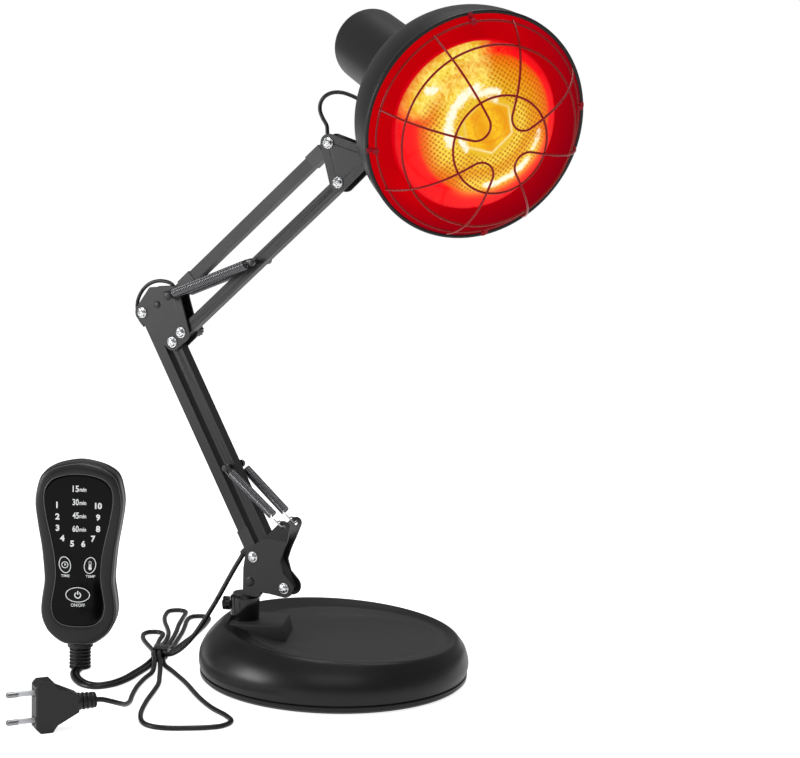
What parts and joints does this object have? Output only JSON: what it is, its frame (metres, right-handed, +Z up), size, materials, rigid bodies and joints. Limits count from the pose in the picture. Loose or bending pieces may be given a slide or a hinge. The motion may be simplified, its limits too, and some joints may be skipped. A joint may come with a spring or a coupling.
{
  "type": "infrared heat therapy lamp",
  "caption": "Infrared heat therapy lamp: red reflector bulb in a guarded round shade on a spring-balanced jointed arm, round tray base, corded remote handset and mains plug.",
  "frame": {"origin": "centre of the underside of the base, on the surface that the lamp stands on", "axes": "+X from the post towards the front of the tray, +Z up, +Y to the left seen from behind the post"},
  "size_m": [0.3884, 0.3345, 0.4917],
  "materials": {
    "base_black": "satin",
    "moulded_black": "satin",
    "gloss_black": "gloss",
    "ballast_iron": "rough",
    "foam_pad": "matte",
    "zinc": "satin",
    "bright_screw": "polished",
    "arm_black": "fine powder coat",
    "spring_steel": "satin",
    "pin_black": "satin",
    "sleeve_black": "satin",
    "cord_black": "satin",
    "board_green": "satin",
    "shade_black": "satin paint",
    "ceramic": "glazed",
    "ruby_glass": "gloss, lit",
    "lamp_cap": "satin",
    "guard_wire": "polished",
    "light_sleeve": "satin",
    "key_black": "satin"
  },
  "bodies": {
    "root": {"base_shell": "base_black", "base_weight": "ballast_iron", "base_cover": "moulded_black", "base_pad": "foam_pad", "base_screws": "zinc", "socket_collar": "gloss_black", "collar_screws": "zinc", "handset_front": "moulded_black", "handset_back": "moulded_black", "handset_panel": "gloss_black", "handset_board": "board_green", "handset_relief": "moulded_black", "handset_screws": "zinc", "mains_cord": "cord_black", "lamp_cord": "cord_black", "cord_tie": "sleeve_black", "plug_body": "moulded_black", "plug_pins": "bright_screw", "plug_sleeves": "light_sleeve"},
    "clamp": {"clamp_knob": "gloss_black"},
    "time_key": {"time_button": "key_black"},
    "temp_key": {"temp_button": "key_black"},
    "power_key": {"power_button": "key_black"},
    "swivel": {"swivel_post": "arm_black", "bracket_near": "arm_black", "bracket_far": "arm_black", "bracket_screws": "bright_screw"},
    "rear_link": {"rear_bar": "arm_black", "rear_bar_gland": "sleeve_black"},
    "front_link": {"front_bar": "arm_black", "lower_spring_pin": "pin_black", "lower_spring_near": "spring_steel", "lower_spring_far": "spring_steel"},
    "elbow": {"elbow_plate_near": "arm_black", "elbow_plate_far": "arm_black", "elbow_screws": "bright_screw", "elbow_spacer": "zinc", "elbow_lead": "cord_black"},
    "elbow_clamp": {"elbow_knob": "gloss_black"},
    "low_link": {"arm_low_bar": "arm_black", "upper_spring_pin": "pin_black", "upper_spring_near": "spring_steel", "upper_spring_far": "spring_steel"},
    "top_link": {"arm_top_bar": "arm_black", "top_bar_sleeves": "sleeve_black"},
    "head_bracket": {"head_plate_near": "arm_black", "head_plate_far": "arm_black", "head_screws": "bright_screw", "head_lead": "cord_black"},
    "knuckle": {"tilt_knuckle": "zinc"},
    "head": {"head_strap": "arm_black", "strap_screws": "bright_screw", "cup": "shade_black", "lamp_holder": "ceramic", "shade": "shade_black", "bulb_glass": "ruby_glass", "bulb_cap": "lamp_cap", "guard": "guard_wire", "guard_clips": "bright_screw"}
  },
  "joints": [
    {"name": "arm_swivel", "type": "hinge", "parent": "root", "child": "swivel", "pos_m": [-0.0675, 0, 0.05], "axis": [0, 0, 1], "range_deg": [-68, 112], "deforming": ["lamp_cord"]},
    {"name": "lower_arm", "type": "hinge", "parent": "swivel", "child": "rear_link", "pos_m": [-0.05824, -0.00378, 0.089], "axis": [-0.3778, -0.9259, 0], "range_deg": [-60, 3]},
    {"name": "front_link_turn", "type": "hinge", "parent": "swivel", "child": "front_link", "pos_m": [-0.03324, -0.01398, 0.069], "axis": [-0.3778, -0.9259, 0], "range_deg": [-60, 3], "deforming": ["lower_spring_near", "lower_spring_far"]},
    {"name": "elbow_level", "type": "hinge", "parent": "rear_link", "child": "elbow", "pos_m": [-0.15083, 0.03401, 0.26221], "axis": [-0.3778, -0.9259, 0], "range_deg": [-3, 60], "deforming": ["elbow_lead"]},
    {"name": "upper_arm", "type": "hinge", "parent": "elbow", "child": "low_link", "pos_m": [-0.11889, 0.02097, 0.2499], "axis": [-0.3778, -0.9259, 0], "range_deg": [-50, 35], "deforming": ["upper_spring_near", "upper_spring_far"]},
    {"name": "top_link_turn", "type": "hinge", "parent": "elbow", "child": "top_link", "pos_m": [-0.12676, 0.02418, 0.2772], "axis": [-0.3778, -0.9259, 0], "range_deg": [-50, 35]},
    {"name": "head_level", "type": "hinge", "parent": "low_link", "child": "head_bracket", "pos_m": [0.00084, -0.02789, 0.36633], "axis": [-0.3778, -0.9259, 0], "range_deg": [-35, 50]},
    {"name": "head_tilt", "type": "hinge", "parent": "head_bracket", "child": "knuckle", "pos_m": [0.02167, -0.03639, 0.38563], "axis": [-0.3778, -0.9259, 0], "range_deg": [-30, 15], "deforming": ["head_lead"]},
    {"name": "head_swivel", "type": "hinge", "parent": "knuckle", "child": "head", "pos_m": [0.02167, -0.03639, 0.38563], "axis": [0, 0, 1], "range_deg": [-12, 25]},
    {"name": "clamp_turn", "type": "hinge", "parent": "root", "child": "clamp", "pos_m": [-0.0795, 0, 0.0508], "axis": [-1, 0, 0], "range_deg": [0, 180]},
    {"name": "elbow_clamp_turn", "type": "hinge", "parent": "elbow", "child": "elbow_clamp", "pos_m": [-0.11322, 0.03486, 0.2499], "axis": [0.3778, 0.9259, 0], "range_deg": [0, 180]},
    {"name": "time_press", "type": "slide", "parent": "root", "child": "time_key", "axis": [-0.0837, 0.9965, 0], "range_m": [0, 0.0008], "stiffness_N_per_m": 900},
    {"name": "temp_press", "type": "slide", "parent": "root", "child": "temp_key", "axis": [-0.0837, 0.9965, 0], "range_m": [0, 0.0008], "stiffness_N_per_m": 900},
    {"name": "power_press", "type": "slide", "parent": "root", "child": "power_key", "axis": [-0.0837, 0.9965, 0], "range_m": [0, 0.0008], "stiffness_N_per_m": 900}
  ],
  "couplings": [
    {"joint": "front_link_turn", "follows": "lower_arm", "ratio": 1},
    {"joint": "elbow_level", "follows": "lower_arm", "ratio": -1},
    {"joint": "top_link_turn", "follows": "upper_arm", "ratio": 1},
    {"joint": "head_level", "follows": "upper_arm", "ratio": -1}
  ]
}
